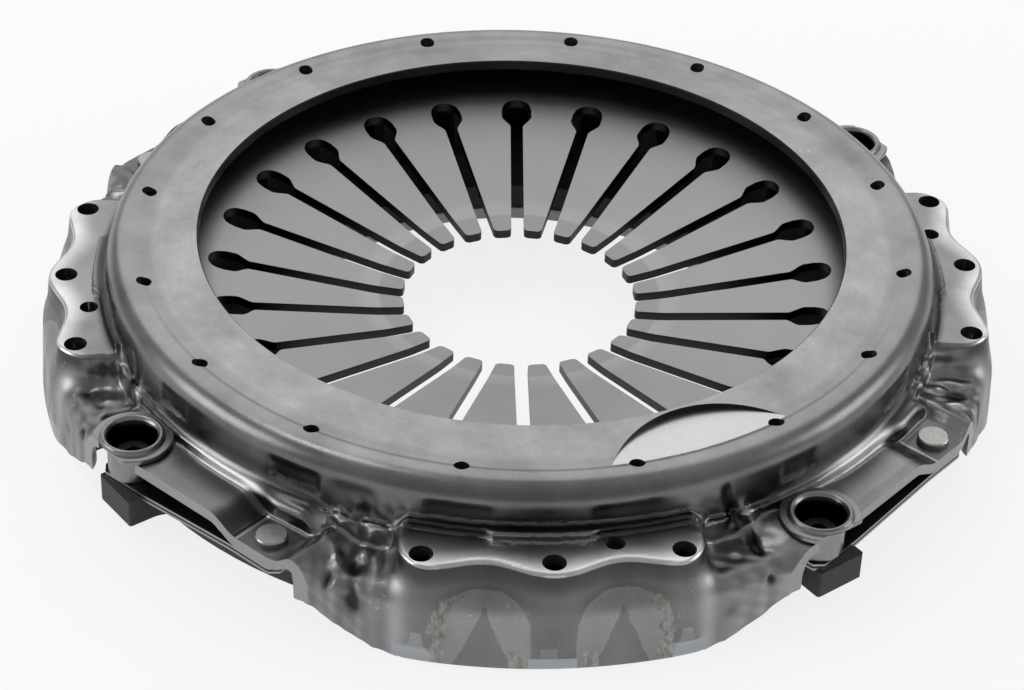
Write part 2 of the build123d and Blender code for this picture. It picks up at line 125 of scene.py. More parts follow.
class Shade:
    # A material under construction. Numbers may be given wherever a socket may.
    def __init__(self, name):
        self.material = bpy.data.materials.new(name)
        self.material.use_nodes = True
        self.tree = self.material.node_tree
        self.surface = self.tree.nodes["Principled BSDF"]
        self.object = self.tree.nodes.new("ShaderNodeTexCoord").outputs["Object"]

    def put(self, socket, value):
        if isinstance(value, bpy.types.NodeSocket):
            self.tree.links.new(value, socket)
        else:
            socket.default_value = value

    def math(self, operation, *values, clamp=False):
        node = self.tree.nodes.new("ShaderNodeMath")
        node.operation = operation
        node.use_clamp = clamp
        for socket, value in zip(node.inputs, values):
            self.put(socket, value)
        return node.outputs[0]

    def product(self, first, *others):
        for other in others:
            first = self.math("MULTIPLY", first, other)
        return first

    def total(self, first, *others):
        for other in others:
            first = self.math("ADD", first, other)
        return first

    def less(self, a, b):
        return self.math("SUBTRACT", a, b)

    def larger(self, a, b):
        return self.math("MAXIMUM", a, b)

    def size(self, x):
        return self.math("ABSOLUTE", x)

    # 0 at low and 1 at high, smooth between; low may be the larger of the two
    def step(self, x, low, high):
        node = self.tree.nodes.new("ShaderNodeMapRange")
        node.interpolation_type = "SMOOTHSTEP"
        self.put(node.inputs["Value"], x)
        self.put(node.inputs["From Min"], low)
        self.put(node.inputs["From Max"], high)
        return node.outputs["Result"]

    # 1 where x is nearer to 0 than inner, 0 where it is further than outer
    def within(self, x, outer, inner):
        return self.step(self.size(x), outer, inner)

    # a share of 0 to 1 laid out between low and high
    def spread(self, x, low, high):
        node = self.tree.nodes.new("ShaderNodeMapRange")
        self.put(node.inputs["Value"], x)
        node.inputs["To Min"].default_value = low
        node.inputs["To Max"].default_value = high
        return node.outputs["Result"]

    def noise(self, scale, detail=4, squash=(1, 1, 1), where=None, rough=0.55):
        mapping = self.tree.nodes.new("ShaderNodeMapping")
        mapping.inputs["Scale"].default_value = squash
        self.put(mapping.inputs["Vector"], where or self.object)
        node = self.tree.nodes.new("ShaderNodeTexNoise")
        node.inputs["Scale"].default_value = scale
        node.inputs["Detail"].default_value = detail
        node.inputs["Roughness"].default_value = rough
        self.tree.links.new(mapping.outputs["Vector"], node.inputs["Vector"])
        return node.outputs["Fac"]

    def split(self, vector):
        node = self.tree.nodes.new("ShaderNodeSeparateXYZ")
        self.put(node.inputs["Vector"], vector)
        return node.outputs

    # distance from the part's axis, and height
    def polar(self):
        x, y, z = self.split(self.object)
        return self.math("SQRT", self.total(self.product(x, x), self.product(y, y))), z

    def read(self, name, kind="Fac"):
        node = self.tree.nodes.new("ShaderNodeAttribute")
        node.attribute_name = name
        return node.outputs[kind]

    def mix(self, factor, a, b):
        node = self.tree.nodes.new("ShaderNodeMix")
        node.data_type = "RGBA"
        for socket, value in ((node.inputs[0], factor), (node.inputs[6], a), (node.inputs[7], b)):
            self.put(socket, value)
        return node.outputs[2]

    def tint(self, colour, factor):
        node = self.tree.nodes.new("ShaderNodeVectorMath")
        node.operation = "SCALE"
        self.put(node.inputs[0], colour)
        self.put(node.inputs["Scale"], factor)
        return node.outputs[0]

    def finish(self, colour, rough, metallic=1.0, height=None, bump=0.0, depth=0.0004):
        self.put(self.surface.inputs["Base Color"], colour)
        self.put(self.surface.inputs["Roughness"], rough)
        self.put(self.surface.inputs["Metallic"], metallic)
        if height is not None:
            relief = self.tree.nodes.new("ShaderNodeBump")
            relief.inputs["Strength"].default_value = bump
            relief.inputs["Distance"].default_value = depth
            self.put(relief.inputs["Height"], height)
            self.put(self.surface.inputs["Normal"], relief.outputs["Normal"])
        return self.material


# A plain finish: a colour with fine grain and wide blotches, noises of the place in metres.
def metal(name, colour, rough, grain=900.0, blotch=22.0, depth=0.22, bump=0.15, metallic=1.0, wide=0.08):
    shade = Shade(name)
    fine = shade.noise(grain)
    patches = shade.noise(blotch, 5)
    strength = shade.product(
        shade.spread(fine, 1 - depth, 1 + depth), shade.spread(patches, 1 - depth, 1 + depth)
    )
    roughness = shade.spread(patches, rough - wide, rough + wide)
    return shade.finish(shade.tint(colour, strength), roughness, metallic, fine, bump)


# What is drawn on the pressed sheet: wear, a painted reflection on the lug's flat top, and painted shadow and
# highlight lines at each pad's step. Places along a skirt count from its lug's centre; metres.
marks = {
    # the lug's flat top: its grey at the root, and a painted reflection added up to the lip
    "flangeTone": 0.24,
    "lipReflection": 0.36,  # added to it at the lip
    "lipBand": 0.0150,
    "arch": 0.031,
    "archHalf": 0.0212,
    "archFoot": 0.0190,  # its sides are upright below this height
    "archRise": 0.0202,
    "archPower": 2.6,
    "wedgeTop": 0.0325,
    "wedgeSlope": 0.41,
    "tornFoot": 0.0150,  # from an arch's centre, towards the lug's middle
    "endStrip": 0.0615,
    "tongue": 0.0605,
    "tongueHalf": 0.0042,
    "tongueFoot": 0.008,
    "patch": -0.0018,
    "rubbed": (0.262, 0.270, 0.274),
    "ground": (0.345, 0.362, 0.388),
    "torn": (0.290, 0.282, 0.260),
    "speck": (0.42, 0.42, 0.41, 1),
    "scratch": (0.62, 0.62, 0.62, 1),
    # place across the arm, edge outside and inside, strength and colour of each line at the pad's step:
    # painted
    #     # shadow, then painted highlight
    "padStepLines": (
        (0.0318, 0.0007, 0.0003, 0.9, (0.012, 0.012, 0.012, 1)),
        (0.0336, 0.0009, 0.0004, 0.7, (0.45, 0.45, 0.45, 1)),
    ),
}


# The grey of the sheet, with a painted reflection on the lug's flat top: dark at its root, which mirrors the
# dark dome, and lighter towards its scalloped lip.
def sheetToneAndReflection(shade, radius, height):
    painted = shade.read("tone")
    toLip = shade.read("toLip")
    flat = shade.product(
        shade.step(height, 0.0489, 0.0498), shade.step(radius, 0.2085, 0.2130), shade.step(toLip, 0.5, 0.4)
    )
    reflectionShare = shade.math("POWER", shade.step(toLip, marks["lipBand"], 0.0), 1.3)
    wanted = shade.total(marks["flangeTone"], shade.product(marks["lipReflection"], reflectionShare))
    return shade.total(painted, shade.product(shade.less(wanted, painted), flat))


# Two arches rubbed light on a skirt, each with a darker wedge inside and torn edges. At height z an arch's
# half width is archHalf times the root of 1 - ((z - archFoot) / archRise) to the archPower.
def archMarks(shade, along, height, ragged, torn):
    m = marks
    side = shade.less(shade.size(along), m["arch"])
    width = shade.size(side)
    lifted = shade.math("DIVIDE", shade.larger(shade.less(height, m["archFoot"]), 0.0), m["archRise"])
    crown = shade.less(1.0, shade.math("POWER", lifted, m["archPower"]))
    outline = shade.product(m["archHalf"], shade.math("SQRT", shade.larger(crown, 0.0)))
    toEdge = shade.total(shade.less(outline, width), shade.product(ragged, 0.45))
    ceiling = shade.total(height, shade.product(ragged, 0.3))
    inArch = shade.product(shade.step(toEdge, 0.0, 0.0005), shade.step(ceiling, 0.0386, 0.0378))
    wedge = shade.less(shade.product(m["wedgeSlope"], shade.less(m["wedgeTop"], height)), width)
    wedge = shade.total(wedge, shade.product(ragged, 0.6))
    rubbed = shade.product(inArch, shade.step(wedge, 0.0004, -0.0004))
    flank = shade.total(shade.less(side, outline), torn, 0.0006)
    flank = shade.product(shade.within(flank, 0.0036, 0.0026), shade.step(height, 0.0375, 0.0350))
    foot = shade.total(shade.size(shade.total(side, m["tornFoot"])), shade.product(torn, 0.5))
    low = shade.step(shade.total(height, torn), 0.0100, 0.0080)
    foot = shade.product(shade.step(foot, 0.0040, 0.0028), low)
    return rubbed, shade.larger(flank, foot)


# Ground strips at a skirt's foot, in its middle and near its ends, and what is rubbed light above them: a
# tongue over each end strip and a patch over the middle one.
def footMarks(shade, along, height, torn):
    m = marks
    end = shade.less(shade.size(along), m["endStrip"])
    endStrip = shade.product(shade.within(end, 0.0103, 0.0101), shade.step(height, 0.0086, 0.0083))
    midStrip = shade.product(shade.within(along, 0.0109, 0.0107), shade.step(height, 0.0066, 0.0063))
    half = shade.less(m["tongueHalf"], shade.product(0.25, shade.less(height, m["tongueFoot"])))
    fromTongue = shade.size(shade.less(shade.size(along), m["tongue"]))
    inTongue = shade.less(half, shade.total(fromTongue, shade.product(torn, 0.4)))
    tongue = shade.product(shade.step(inTongue, 0, 0.0004), shade.step(height, 0.0165, 0.0160))
    patch = shade.within(shade.less(along, m["patch"]), 0.0040, 0.0036)
    patch = shade.product(patch, shade.step(height, 0.0125, 0.0119), 0.8)
    return shade.larger(endStrip, midStrip), shade.larger(tongue, patch)


# Lines painted across each pad between its ramp and its rivet, at the foot of the ramp: a painted shadow, and
# a painted highlight beside it.
def padStepShadeAndHighlight(shade, grey):
    across, outwards, up = shade.split(shade.read("onArm", "Vector"))
    onPad = shade.product(
        shade.step(outwards, 0.2095, 0.2105), shade.step(up, 0.0425, 0.0415), shade.step(up, 0.0335, 0.0345)
    )
    for place, outer, inner, share, colour in marks["padStepLines"]:
        line = shade.within(shade.less(across, place), outer, inner)
        grey = shade.mix(shade.product(line, onPad, share), grey, colour)
    return grey


# The ring's turned face: fine rings, arcs that cross them, and scratches.
def turnedFace(shade, grey, radius, height):
    onRing = shade.product(shade.step(radius, 0.184, 0.181), shade.step(height, 0.070, 0.0715))
    place = shade.read("place", "Vector")
    rings = shade.noise(2600, 2, (0, 1, 0), place)
    arcs = shade.noise(210, 3, (0.35, 1, 0), place)
    turned = shade.product(shade.spread(rings, 0.80, 1.20), shade.spread(arcs, 0.86, 1.14))
    grey = shade.mix(onRing, grey, shade.tint(grey, turned))
    scratch = shade.step(shade.noise(70, 2, (9, 0.7, 1)), 0.705, 0.72)
    where = shade.step(shade.noise(40, 2), 0.53, 0.6)
    return shade.mix(shade.product(onRing, scratch, where, 0.35), grey, marks["scratch"])


# Pressed sheet. The mesh carries "tone", the grey of each place with painted shade and highlights in it,
# "place", which is the distance along the rim from the nearest lug's centre, the radius and the height,
# "onArm", the place on the arm's own axes, and "toLip", the distance from the flange's lip, all in metres.
def sheetFinish():
    shade = Shade("pressedSteel")
    along, radius, height = shade.split(shade.read("place", "Vector"))
    fine = shade.noise(1500)
    patches = shade.noise(26, 6)
    streaks = shade.noise(60, 4, (1, 1, 0.12))
    strength = shade.product(
        shade.spread(fine, 0.80, 1.20), shade.spread(patches, 0.50, 1.50), shade.spread(streaks, 0.78, 1.22)
    )
    ragged = shade.spread(shade.noise(140, 5), -0.0032, 0.0032)
    torn = shade.spread(shade.noise(230, 6, rough=0.65), -0.0075, 0.0075)
    skirt = shade.product(shade.step(radius, 0.2245, 0.2275), shade.step(height, 0.0455, 0.0425))
    rubbed, shreds = archMarks(shade, along, height, ragged, torn)
    strips, tongues = footMarks(shade, along, height, torn)
    rubbed = shade.product(shade.larger(rubbed, tongues), skirt)
    shreds = shade.product(shreds, skirt)
    groundLines = shade.spread(shade.noise(900, 2, (0.01, 0.01, 1)), 0.75, 1.25)
    frayed = shade.spread(shade.noise(360, 6, (1, 1, 0.45), rough=0.75), -0.6, 2.4)
    # pale specks in clusters
    specks = shade.step(shade.noise(430, 3), 0.635, 0.66)
    clusters = shade.step(shade.noise(52, 1), 0.56, 0.62)
    specks = shade.product(specks, clusters, skirt, shade.step(height, 0.020, 0.024))
    grey = shade.tint((1.0, 1.01, 1.02), shade.product(sheetToneAndReflection(shade, radius, height), strength))
    grey = shade.mix(rubbed, grey, shade.tint(marks["rubbed"], strength))
    grey = shade.mix(shade.product(strips, skirt), grey, shade.tint(marks["ground"], groundLines))
    grey = shade.mix(shade.product(shreds, 0.85), grey, shade.tint(marks["torn"], frayed))
    grey = shade.mix(shade.product(specks, 0.8), grey, marks["speck"])
    grey = padStepShadeAndHighlight(shade, grey)
    grey = turnedFace(shade, grey, radius, height)
    rough = shade.total(shade.spread(patches, 0.20, 0.38), shade.product(skirt, 0.14))
    relief = shade.total(fine, shade.product(shreds, 1.5))
    return shade.finish(grey, rough, 1.0, relief, 0.16)


# Cast iron: grainy and brown outside, and painted near black under the spring as painted shade; a machined
# band at the foot of the bore.
def castFinish():
    shade = Shade("castIron")
    radius, height = shade.polar()
    fine = shade.noise(620, 6, rough=0.7)
    wide = shade.noise(60, 4)
    strength = shade.product(shade.spread(fine, 0.45, 1.55), shade.spread(wide, 0.75, 1.25))
    colour = shade.tint((0.062, 0.060, 0.056), strength)
    # painted shade: a near black copy of the casting's colour inside, under the spring and the ring
    dark = shade.tint((0.026, 0.025, 0.024), strength)
    colour = shade.mix(shade.step(radius, 0.206, 0.198), colour, dark)
    band = shade.product(shade.step(radius, 0.1195, 0.1188), shade.step(height, 0.0104, 0.0100))
    colour = shade.mix(band, colour, (0.55, 0.55, 0.54, 1))
    return shade.finish(colour, 0.72, 0.35, fine, 0.7, 0.0006)


# Spring steel: matt grey with a painted highlight on a band before the tips, where the fingers bend, painted
# shade on the tips, and the ring's painted shadow over the outer edge.
def springFinish():
    shade = Shade("springSteel")
    radius, _ = shade.polar()
    fine = shade.noise(1700, 4)
    patches = shade.noise(34, 6)
    # painted light: a highlight on the band where the fingers bend, shade on the tips, the ring's shadow
    # outside
    pale = shade.product(shade.step(radius, 0.0690, 0.0715), shade.step(radius, 0.0830, 0.0765))
    tip = shade.step(radius, 0.0715, 0.0695)
    ringShadow = shade.step(radius, 0.1500, 0.1640)
    strength = shade.product(
        shade.spread(fine, 0.90, 1.10),
        shade.spread(patches, 0.86, 1.14),
        shade.total(1.0, shade.product(pale, 0.10)),
        shade.less(1.0, shade.product(tip, 0.10)),
        shade.less(1.0, shade.product(ringShadow, 0.80)),
    )
    colour = shade.tint((0.330, 0.331, 0.334), strength)
    return shade.finish(colour, shade.spread(patches, 0.42, 0.54), 1.0, fine, 0.10)


pressedSteel = sheetFinish()
castIron = castFinish()
springSteel = springFinish()
# painted shade: a near black copy of spring steel for the spring's upright cut faces
springCutShade = metal("springCutShade", (0.032, 0.032, 0.033), 0.42, grain=900)
cutEdge = metal("cutEdge", (0.31, 0.315, 0.325), 0.40, grain=800)
# painted shade: near black for the cover's opening wall and the recess's wall
holeShade = metal("holeShade", (0.035, 0.035, 0.036), 0.36, grain=900)
drilled = metal("drilled", (0.17, 0.17, 0.175), 0.18, grain=500, metallic=0.85)
machinedSteel = metal(
    "machinedSteel", (0.51, 0.51, 0.515), 0.30, grain=1200, blotch=24, depth=0.16, bump=0.03
)
wireSteel = metal("wireSteel", (0.06, 0.06, 0.062), 0.40)
leafSteel = metal("leafSteel", (0.10, 0.098, 0.094), 0.42)
rivetSteel = metal("rivetSteel", (0.36, 0.355, 0.345), 0.36, grain=700, blotch=150, depth=0.25)
sleeveSteel = metal("sleeveSteel", (0.235, 0.240, 0.245), 0.30, blotch=60)
# painted shade: near black inside the sleeves
sleeveInsideShade = metal("sleeveInsideShade", (0.022, 0.022, 0.023), 0.22)
leafEdge = metal("leafEdge", (0.34, 0.34, 0.33), 0.38, grain=700)
# painted shade: near black for the middle strap's edges, between the other two
leafEdgeShade = metal("leafEdgeShade", (0.05, 0.05, 0.05), 0.45)
boltBlack = metal("boltBlack", (0.014, 0.014, 0.015), 0.45, metallic=0.3)
print("materials made")

# The cover's outer skin is the zero set of a rounded union of the dome, lugs, arms, benches and saddles. In
# each half-plane through the axis it is found along rays from one inner point, at the distance t where the
# field at origin + t * direction is 0; the inner skin is where the field is -sheet. Metres, and degrees where
# said.
cover = {
    "sheet": 0.0056,
    "opening": 0.1596,
    # radius and height down the ring's face, across the groove and onto the crown
    "top": (
        (0.150, 0.07812), (0.1596, 0.0767), (0.1847, 0.0730),
        (0.1876, 0.0730), (0.1906, 0.0744), (0.240, 0.0744),
    ),
    "topRound": 0.0006,
    "domeRadius": 0.2040,
    "domeRound": 0.0098,
    "domeLean": 0.034,
    "domeFoot": 0.2048,
    "flange": 0.0508,
    "rim": 0.2383,
    "bolts": 0.2250,
    "lastBolt": 15.0,  # degrees from the lug's centre
    "lipMargin": 0.0086,
    "scallop": 0.0082,
    "lugHalf": 0.073,
    "lugLean": 0.0045,
    "ledge": 0.0034,  # its width, and once more in its proud middle
    "shelf": 0.0424,
    "pad": 0.0360,
    "ramp": (0.0165, 0.0330),
    "archRise": 0.0042,
    "arch": (0.0565, 0.0650),
    "armEnd": 0.0705,
    "armEdge": 0.2312,
    "armRound": 0.2373,
    "armFront": 0.2395,
    "bench": 0.0469,
    "benchHalf": 0.078,
    # where the bench meets the arm: place across the arm, and distance from the axis
    "benchLine": (
        (-0.065, -0.0452, -0.012, 0.0, 0.032, 0.060),
        (0.2000, 0.2004, 0.2086, 0.2092, 0.2092, 0.2068),
    ),
    "saddle": 0.0347,
    "skirtRadius": 0.2360,
    "saddleDrop": 0.016,
    # the height at which the skirt is cut off, from the arm's end to the lug's foot
    "lowEdge": ((0.0705, 0.079, 0.084, 0.090, 0.096, 0.101), (0.018, 0.0120, 0.0090, 0.0060, 0.0030, 0.0)),
    "trim": 0.0006,  # chamfer of the cut edges
    "origin": (0.168, -0.010),
    "columns": 980,
    "outerRows": 78,
    "innerRows": 18,
}

# Shallow pockets in the dome's wall: centre, outer and inner half-width in degrees from the lug or arm.
pockets = {
    "lug": ((-11.6, 4.6, 3.6), (9.4, 4.8, 3.8)),
    "lugLevel": 0.0588,
    "lugDepth": 0.0008,
    "arm": ((-10.7, 3.0, 2.4), (11.3, 3.9, 3.3)),
    "armLevel": 0.0577,
    "armDepth": 0.0014,
}

# Folds pressed in where arm and lug meet: ends of each in the arm's own x, y and z, its half-width and how
# far it goes in, or out where negative. Those with x above 0 are beside the rivet, the others by the sleeve.
folds = (
    ((0.0363, 0.2088, 0.0431), (0.0573, 0.2018, 0.0420), 0.0026, -0.0009),
    ((0.0573, 0.2018, 0.0420), (0.0728, 0.2080, 0.0358), 0.0026, -0.0010),
    ((0.0640, 0.1954, 0.0470), (0.0785, 0.2132, 0.0347), 0.0022, -0.0013),
    ((0.0739, 0.1910, 0.0512), (0.0733, 0.2051, 0.0355), 0.0026, 0.0015),
    ((0.0803, 0.1921, 0.0442), (0.0821, 0.1995, 0.0347), 0.0022, -0.0014),
    ((0.0841, 0.2058, 0.0347), (0.0923, 0.2172, 0.0226), 0.0046, 0.0019),
    ((0.0797, 0.2179, 0.0333), (0.0798, 0.2215, 0.0293), 0.0019, 0.0016),
    ((0.0880, 0.1960, 0.0400), (0.0960, 0.2110, 0.0200), 0.0026, -0.0010),
    ((0.0626, 0.1947, 0.0595), (0.0745, 0.1903, 0.0600), 0.0040, 0.0007),
    ((-0.0765, 0.1896, 0.0600), (-0.0735, 0.1915, 0.0473), 0.0020, 0.0017),
    ((-0.0735, 0.1915, 0.0473), (-0.0712, 0.2008, 0.0361), 0.0021, 0.0021),
    ((-0.0712, 0.2008, 0.0361), (-0.0805, 0.2217, 0.0278), 0.0021, 0.0021),
    ((-0.0690, 0.1935, 0.0490), (-0.0655, 0.2010, 0.0385), 0.0024, -0.0012),
    ((-0.0755, 0.1915, 0.0440), (-0.0845, 0.2047, 0.0347), 0.0026, 0.0014),
    ((-0.0800, 0.1950, 0.0420), (-0.0890, 0.2130, 0.0240), 0.0024, -0.0012),
    ((-0.0940, 0.2000, 0.0400), (-0.0980, 0.2120, 0.0180), 0.0036, 0.0010),
)

# the top profile as a fine table, its corners rounded by a running average
tableStep = 0.0001
tableR = np.linspace(0.145, 0.245, 1001)
kernel = np.exp(-0.5 * (np.arange(-40, 41) * tableStep / cover["topRound"]) ** 2)
tableZ = np.pad(np.interp(tableR, *zip(*cover["top"])), 40, mode="edge")
tableZ = np.convolve(tableZ, kernel / kernel.sum(), mode="valid")


# Angle from the nearest of four places a quarter turn apart.
def localAngle(theta, first):
    quarter = math.pi / 2
    return (theta - first + quarter / 2) % quarter - quarter / 2


# Radius of the scalloped lip, by degrees from the lug's centre: a cosine with a crest at each bolt hole.
def lipRadius(deg):
    wave = 0.5 + 0.5 * np.cos(np.radians(np.minimum(deg, cover["lastBolt"]) * 24))
    return cover["bolts"] + cover["lipMargin"] - cover["scallop"] * (1 - wave)


# Height of the arm across its length: shelf, ramp down to the pad, and a rise at its end.
def armTop(x):
    c = cover
    ramp = c["shelf"] + (c["pad"] - c["shelf"]) * smooth(*c["ramp"], x)
    return ramp + c["archRise"] * smooth(*c["arch"], x)


# 1 in a pocket and 0 outside it. The pocket fades out between outer and inner, measured from its level.
def inPocket(deg, spots, z, level, outer, inner):
    across = [smooth(wide, narrow, np.abs(deg - middle)) for middle, wide, narrow in spots]
    return np.maximum(*across) * smooth(outer, inner, np.abs(z - level))


# Depth of the folds: a bell of the distance from each fold's line, and small waves, a product of two sines.
def foldDepth(x, y, z):
    place = np.stack([x, y, z], -1)
    total = np.zeros(x.shape)
    for start, end, width, depth in folds:
        a, b = np.array(start), np.array(end)
        close = np.abs(x - (a[0] + b[0]) / 2) < abs(a[0] - b[0]) / 2 + 2.6 * width
        spot = place[close] - a
        share = np.clip((spot @ (b - a)) / ((b - a) @ (b - a)), 0, 1)
        away = ((spot - share[:, None] * (b - a)) ** 2).sum(-1)
        total[close] += depth * np.exp(-away / width**2)
    where = smooth(0.060, 0.072, np.abs(x)) * smooth(0.104, 0.094, np.abs(x))
    where = where * smooth(0.2005, 0.2050, np.hypot(x, y)) * smooth(0.0620, 0.0540, z)
    waves = np.sin(571 * x + 372 * z + 1.3) * np.sin(302 * y - 448 * z)
    waves = waves + 0.6 * np.sin(820 * x - 610 * y + 2.0)
    return total + 0.00022 * waves * where


# The lug: its front runs from the scalloped lip down to the round foot, and its ends lean in a little.
def lugField(phi, deg, r, z):
    c = cover
    up = np.clip(z / c["flange"], -0.3, 1.2)
    # below the floor the power has no value, and such a place counts as outside
    front = (r - (c["rim"] + (lipRadius(deg) - c["rim"]) * up ** 1.25 * (up > 0))) * 0.98
    side = np.abs(r * np.sin(phi)) - c["lugHalf"] + c["lugLean"] * (np.clip(z, 0, 0.06) / c["flange"])
    lug = meet(front, side, 0.0075 + 0.0060 * up)
    return meet(lug, z - c["flange"], 0.0016 + 0.0026 * smooth(17.0, 19.0, deg))


# The ledge along the lug's root, lower and further out in its middle.
def ledgeField(fromLug, deg, r, z):
    c = cover
    proud = smooth(-8.2, -7.2, fromLug) * smooth(5.8, 4.8, fromLug)
    fade = smooth(20.0, 17.6, deg)
    out = r - c["domeFoot"] - c["ledge"] - c["ledge"] * proud
    return meet(out, z - c["flange"] - (0.0038 + 0.0008 * proud) * fade + 0.004 * (1 - fade), 0.0011)


# The arm with its bench behind, on its own axes: x along the leaf springs, y outwards.
def armField(x, y, z):
    c = cover
    arm = meet(z - armTop(x), np.abs(x) - c["armEnd"], np.where(x < 0, 0.0135, 0.0078))
    arm = meet(arm, y - c["armFront"], 0.003)
    sunk = 0.022 * smooth(0.050, 0.074, np.abs(x))
    bench = meet(y - np.interp(x, *c["benchLine"]), z - c["bench"] + sunk, 0.0040)
    bench = meet(bench, np.abs(x) - c["benchHalf"], 0.004)
    return join(arm, bench, 0.0022)


def coverField(theta, r, z):
    c = cover
    crown = c["top"][-1][1]
    phi = localAngle(theta, 0.0)
    psi = localAngle(theta, math.pi / 4)
    fromLug, fromArm = np.degrees(phi), np.degrees(psi)
    deg = np.abs(fromLug)
    wall = r - c["domeRadius"] - c["domeLean"] * (crown - z)
    dome = meet(z - np.interp(r, tableR, tableZ), wall, c["domeRound"])
    q = pockets
    dome = dome + q["lugDepth"] * inPocket(fromLug, q["lug"], z, q["lugLevel"], 0.0052, 0.0036)
    dome = dome + q["armDepth"] * inPocket(fromArm, q["arm"], z, q["armLevel"], 0.0056, 0.0042)
    x = r * np.sin(psi)
    y = r * np.cos(psi)
    drop = c["saddleDrop"] * (1 - smooth(0.046, 0.066, np.abs(x)))
    saddle = meet(r - c["skirtRadius"], z - c["saddle"] + drop, 0.0085)
    field = join(armField(x, y, z), saddle, 0.0065)
    field = join(field, lugField(phi, deg, r, z), 0.0060)
    field = join(field, dome, 0.0050)
    field = join(field, ledgeField(fromLug, deg, r, z), 0.0013)
    near = (np.abs(x) > 0.030) & (np.abs(x) < 0.106) & (r > 0.185) & (r < 0.245)
    field[near] += foldDepth(x[near], y[near], z[near])
    return field


# Points of one skin, in rows from the opening to the outer edge for each angle: the skin's line is cut off at
# both ends, and its rows follow its length and lie closer where it bends.
def coverSkin(theta, offset, rows, rays=460, steps=400):
    c = cover
    angle = np.radians(np.linspace(99.0, 4.0, rays))
    dr, dz = np.cos(angle)[None, :], np.sin(angle)[None, :]
    low = np.full((len(theta), rays), 0.012)
    high = np.full((len(theta), rays), 0.125)
    column = np.repeat(theta[:, None], rays, 1)
    for _ in range(21):
        middle = (low + high) / 2
        inside = coverField(column, c["origin"][0] + middle * dr, c["origin"][1] + middle * dz) < -offset
        low = np.where(inside, middle, low)
        high = np.where(inside, high, middle)
    r = c["origin"][0] + low * dr
    z = c["origin"][1] + low * dz
    skirtX = np.abs(c["skirtRadius"] * np.sin(localAngle(theta, math.pi / 4)))
    under = np.interp(skirtX, *c["lowEdge"])[:, None] + c["trim"] - z
    opening = c["opening"] + c["trim"]
    paths = np.zeros((len(theta), steps, 2))
    shares = np.zeros((len(theta), rows))
    for k in range(len(theta)):
        first = np.argmax(r[k] > opening)
        last = np.argmax(under[k] > 0)
        path = np.stack([r[k, first - 1 : last + 1], z[k, first - 1 : last + 1]], -1)
        share = (opening - path[0, 0]) / (path[1, 0] - path[0, 0])
        path[0] += (path[1] - path[0]) * share
        share = np.clip(-under[k, last - 1] / (under[k, last] - under[k, last - 1]), 0.02, 1.0)
        path[-1] = path[-2] + (path[-1] - path[-2]) * share
        reach = np.concatenate([[0], np.cumsum(np.linalg.norm(np.diff(path, axis=0), axis=1))])
        even = np.linspace(0, reach[-1], steps)
        paths[k, :, 0] = np.interp(even, reach, path[:, 0])
        paths[k, :, 1] = np.interp(even, reach, path[:, 1])
        heading = np.unwrap(np.arctan2(*np.gradient(paths[k], axis=0).T[::-1]))
        bend = np.pad(np.abs(np.gradient(heading)), 6, mode="edge")
        bend = np.convolve(bend, np.ones(13) / 13, mode="valid")
        drawn = np.cumsum(reach[-1] / steps + 0.0060 * bend)
        shares[k] = np.interp(np.linspace(drawn[0], drawn[-1], rows), drawn, np.linspace(0, 1, steps))
    # neighbouring columns share their rows: the spacing is evened out round the rim
    weights = np.exp(-0.5 * (np.arange(-16, 17) / 6.0) ** 2)
    weights /= weights.sum()
    wrapped = np.concatenate([shares[-16:], shares, shares[:16]])
    even = np.stack([np.convolve(wrapped[:, j], weights, mode="valid") for j in range(rows)], 1)
    points = np.zeros((len(theta), rows, 2))
    for k in range(len(theta)):
        for axis in range(2):
            points[k, :, axis] = np.interp(even[k], np.linspace(0, 1, steps), paths[k, :, axis])
    return points


# Angles of the columns, closer together at the lugs' corners and the arms' ends.
def coverColumns():
    fine = np.linspace(-math.pi / 4, math.pi / 4, 4001)
    deg = np.degrees(np.abs(fine))
    weight = 1 + 2.8 * np.exp(-((deg - 19.0) / 2.4) ** 2) + 2.6 * np.exp(-((deg - 24.6) / 4.2) ** 2)
    share = np.concatenate([[0], np.cumsum((weight[1:] + weight[:-1]) / 2)])
    per = cover["columns"] // 4
    quarter = np.interp(np.arange(per) / per * share[-1], share, fine)
    return np.concatenate([quarter + lugAngle(k) for k in range(4)])


